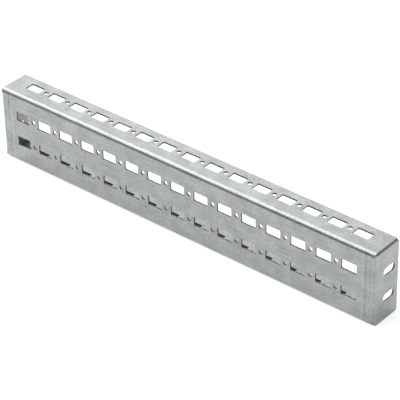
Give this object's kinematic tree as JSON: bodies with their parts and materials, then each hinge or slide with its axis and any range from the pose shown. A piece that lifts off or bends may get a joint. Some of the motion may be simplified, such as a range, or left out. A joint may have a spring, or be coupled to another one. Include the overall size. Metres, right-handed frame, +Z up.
{
  "type": "punched mounting profile",
  "caption": "Folded zinc-plated sheet-steel channel with closed ends, punched with rectangular slots and round holes for mounting devices and cables inside an enclosure.",
  "frame": {"origin": "middle of the length and of the depth, at the underside of the lower long flange", "axes": "+X along the profile, -Y out of the punched web's face, +Y towards the open back, +Z up, across the web"},
  "size_m": [0.401, 0.03, 0.0692],
  "materials": {
    "zinc_plated_steel": "zinc-plated, satin"
  },
  "bodies": {
    "root": {"mounting_profile": "zinc_plated_steel"}
  },
  "joints": []
}
